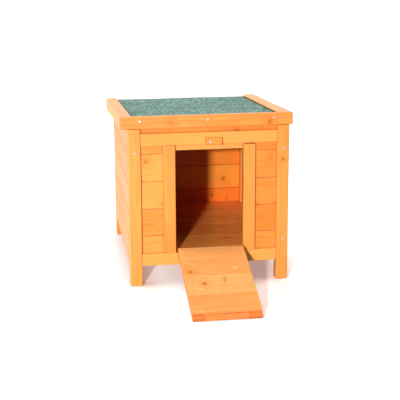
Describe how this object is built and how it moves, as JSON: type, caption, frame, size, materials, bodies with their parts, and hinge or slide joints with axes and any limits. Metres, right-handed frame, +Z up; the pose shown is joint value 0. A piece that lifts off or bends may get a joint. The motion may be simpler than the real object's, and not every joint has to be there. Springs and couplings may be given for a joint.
{
  "type": "wooden cat house",
  "caption": "Small wooden pet house on legs, of tongued boards, with a felted lid roof that hinges up and a board door that folds down as a ramp, held shut by a turn button.",
  "frame": {"origin": "on the floor, under the middle of the outline with the ramp down", "axes": "+X to the right seen from the front, +Y to the rear, +Z up; the doorway and ramp face -Y"},
  "size_m": [0.4244, 0.7686, 0.4327],
  "materials": {
    "board_wood": "oiled softwood boards",
    "frame_wood": "oiled softwood, planed",
    "roof_wood": "oiled softwood, planed",
    "ramp_wood": "oiled softwood boards",
    "felt": "mineral-faced roofing felt",
    "steel": "zinc-plated steel"
  },
  "bodies": {
    "house": {"button_screw": "steel", "floor_bearer_left": "board_wood", "floor_bearer_right": "board_wood", "floor_board_1": "board_wood", "floor_board_2": "board_wood", "floor_board_3": "board_wood", "floor_board_4": "board_wood", "frame_screws": "steel", "front_board_left_1": "board_wood", "front_board_left_2": "board_wood", "front_board_left_3": "board_wood", "front_board_low": "board_wood", "front_board_right_1": "board_wood", "front_board_right_2": "board_wood", "front_board_right_3": "board_wood", "front_board_top": "board_wood", "front_bottom_rail": "frame_wood", "front_stile_left": "frame_wood", "front_stile_right": "frame_wood", "front_upper_rail": "frame_wood", "hinge_pins": "steel", "left_board_1": "board_wood", "left_board_2": "board_wood", "left_board_3": "board_wood", "left_board_4": "board_wood", "left_board_5": "board_wood", "lid_hinge_fixed_leaves": "steel", "post_front_left": "frame_wood", "post_front_right": "frame_wood", "post_rear_left": "frame_wood", "post_rear_right": "frame_wood", "ramp_hinge_fixed_leaves": "steel", "rear_board_1": "board_wood", "rear_board_2": "board_wood", "rear_board_3": "board_wood", "rear_board_4": "board_wood", "rear_board_5": "board_wood", "right_board_1": "board_wood", "right_board_2": "board_wood", "right_board_3": "board_wood", "right_board_4": "board_wood", "right_board_5": "board_wood"},
    "lid": {"lid_fascia": "roof_wood", "lid_hinge_moving_leaves": "steel", "lid_rail_left": "roof_wood", "lid_rail_rear": "roof_wood", "lid_rail_right": "roof_wood", "lid_screws": "steel", "roof_felt": "felt", "roof_panel": "roof_wood"},
    "ramp": {"ramp_board_1": "ramp_wood", "ramp_board_2": "ramp_wood", "ramp_board_3": "ramp_wood", "ramp_board_4": "ramp_wood", "ramp_hinge_moving_leaves": "steel", "ramp_rail_floor": "ramp_wood", "ramp_rail_hinge": "ramp_wood", "ramp_stile_left": "ramp_wood", "ramp_stile_right": "ramp_wood"},
    "button": {"turn_button": "frame_wood"}
  },
  "joints": [
    {"name": "lid_hinge", "type": "hinge", "parent": "house", "child": "lid", "pos_m": [0.20955, -0.1133, 0.39901], "axis": [0, 0.9969, -0.0785], "range_deg": [0, 150]},
    {"name": "ramp_hinge", "type": "hinge", "parent": "house", "child": "ramp", "pos_m": [0.00675, -0.11588, 0.079], "axis": [-1, 0, 0], "range_deg": [0, 107.08]},
    {"name": "button_turn", "type": "hinge", "parent": "house", "child": "button", "pos_m": [0.00675, -0.11758, 0.366], "axis": [0, 1, 0], "range_deg": [0, 180]}
  ]
}
